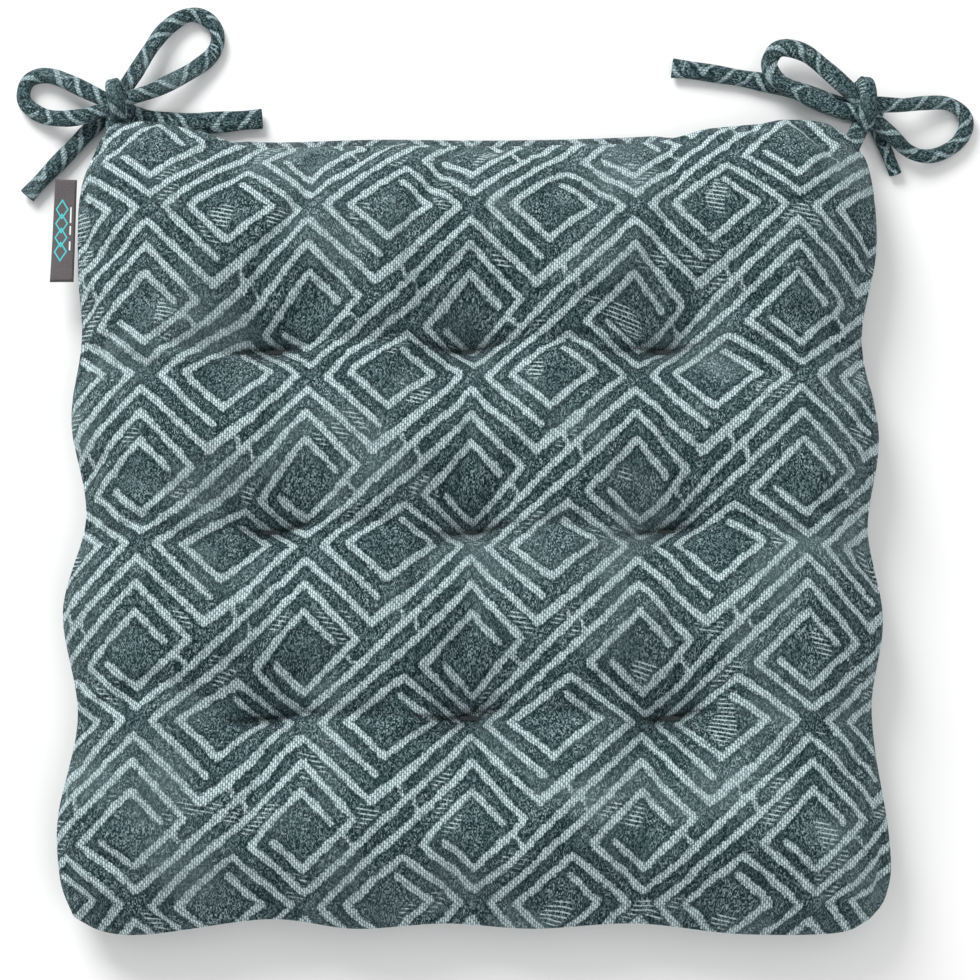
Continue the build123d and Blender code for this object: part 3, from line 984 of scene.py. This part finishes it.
def tuft_stitch(name, node, x, y, seed):
    """One bar tack: five strands of thread side by side, pulled down through the pad."""
    r = np.random.default_rng(seed)
    verts, faces = [], []
    ring, steps = 8, 14
    strand_radius = 0.3
    for strand in range(5):
        offset = (strand - 2) * 0.42 + r.uniform(-0.1, 0.1)
        half = 5.0 + r.uniform(-0.4, 0.3)
        base = len(verts)
        for i in range(steps + 1):
            t = -1 + 2 * i / steps
            cx = x + half * t
            cz = 21.9 + 0.5 * (1 - t * t) - 4.0 * max(0, abs(t) - 0.86) * 3 + r.uniform(-0.04, 0.04)
            cy = y + offset * (1 - 0.25 * t * t)
            for k in range(ring):
                angle = 2 * math.pi * k / ring
                ty, tz = cy + strand_radius * math.cos(angle), cz + strand_radius * math.sin(angle)
                verts.append((cx * MM, ty * MM, tz * MM))
        faces += ring_faces(base, steps, ring)
        faces.append(tuple(base + k for k in range(ring))[::-1])
        faces.append(tuple(base + steps * ring + k for k in range(ring)))
    obj = mesh_object(name, verts, [f[::-1] for f in faces])
    obj.data.materials.append(DARK_THREAD)
    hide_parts(node)
    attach(obj, "pad")


for index, (x, y) in enumerate(TUFTS):
    name = f"tuft_stitch_r{index // 3 + 1}c{index % 3 + 1}"
    tuft_stitch(name.replace("stitch", "thread"), name, x, y, 40 + index)

# ------------------------------------------------------------------ the side label


def side_label():
    """A folded ribbon: two layers that meet in a soft fold at the outer edge."""
    low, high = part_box("side_label")
    x0 = high[0] - 0.4 * MM
    reach = 11.3 * MM
    y0, y1 = low[1], high[1]
    rows, profile = 30, []
    straight = 0.96
    half_thick = 0.42 * MM
    for k in range(9):
        profile.append((-reach * k / 8 * straight, half_thick))
    for k in range(1, 6):
        angle = math.pi * k / 6
        profile.append((-reach * straight - 0.45 * MM * math.sin(angle), half_thick * math.cos(angle)))
    for k in range(8, -1, -1):
        profile.append((-reach * k / 8 * straight, -half_thick))
    verts, faces, cloth = [], [], []
    for j in range(rows + 1):
        t = j / rows
        y = y0 + (y1 - y0) * t
        splay = 1.0 + 0.10 * (0.5 - t)
        for px, pz in profile:
            lift = -0.9 * MM * (px / reach) ** 2 * math.sin(t * math.pi * 1.3 + 0.4)
            verts.append((x0 + px * splay, y, SEAM_Z * MM + pz + lift))
            cloth.append((-px - reach / 2, (t - 0.5) * (y1 - y0)))
    m = len(profile)
    for j in range(rows):
        for k in range(m - 1):
            faces.append((j * m + k, (j + 1) * m + k, (j + 1) * m + k + 1, j * m + k + 1))
        faces.append((j * m + m - 1, (j + 1) * m + m - 1, (j + 1) * m, j * m))
    faces.append(tuple(range(m)))
    faces.append(tuple(rows * m + k for k in range(m - 1, -1, -1)))
    obj = mesh_object("label_ribbon", verts, faces)
    add_uv(obj.data, "Fabric", cloth)
    obj.data.materials.append(LABEL)
    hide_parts("side_label")
    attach(obj, "label")


side_label()
# the label's hem is shown as it was modelled for the CAD, in the thread's material
for obj in scene.objects:
    if obj.get("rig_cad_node") == "side_label_hem":
        obj.data.materials.clear()
        obj.data.materials.append(DARK_THREAD)

# ------------------------------------------------------------------ floor, light and view

floor = mesh_object("floor", [(-3, -3, 0), (3, -3, 0), (3, 3, 0), (-3, 3, 0)], [(0, 1, 2, 3)], smooth=False)
floor_material, _, floor_shader = principled("floor", 1.0)
floor_shader.inputs["Base Color"].default_value = (0.9, 0.9, 0.9, 1)
floor_shader.inputs["Specular IOR Level"].default_value = 0.0
floor.data.materials.append(floor_material)


def area_light(name, place, target, size, power, colour=(1, 1, 1)):
    data = bpy.data.lights.new(name, "AREA")
    data.shape = "DISK"
    data.size = size
    data.energy = power
    data.color = colour
    lamp = link(bpy.data.objects.new(name, data))
    lamp.location = place
    lamp.rotation_euler = (Vector(target) - Vector(place)).to_track_quat("-Z", "Y").to_euler()


area_light("key", (-0.9, 1.5, 1.2), (0, 0, 0), 1.2, 42)
area_light("fill", (0.9, -1.2, 1.8), (0, 0, 0), 1.6, 12)
world = bpy.data.worlds.new("studio")
world.use_nodes = True
world.node_tree.nodes["Background"].inputs[0].default_value = (1, 1, 1, 1)
world.node_tree.nodes["Background"].inputs[1].default_value = 0.62
scene.world = world
scene.view_settings.view_transform = "Standard"
scene.view_settings.look = "None"
scene.view_settings.exposure = 0.0
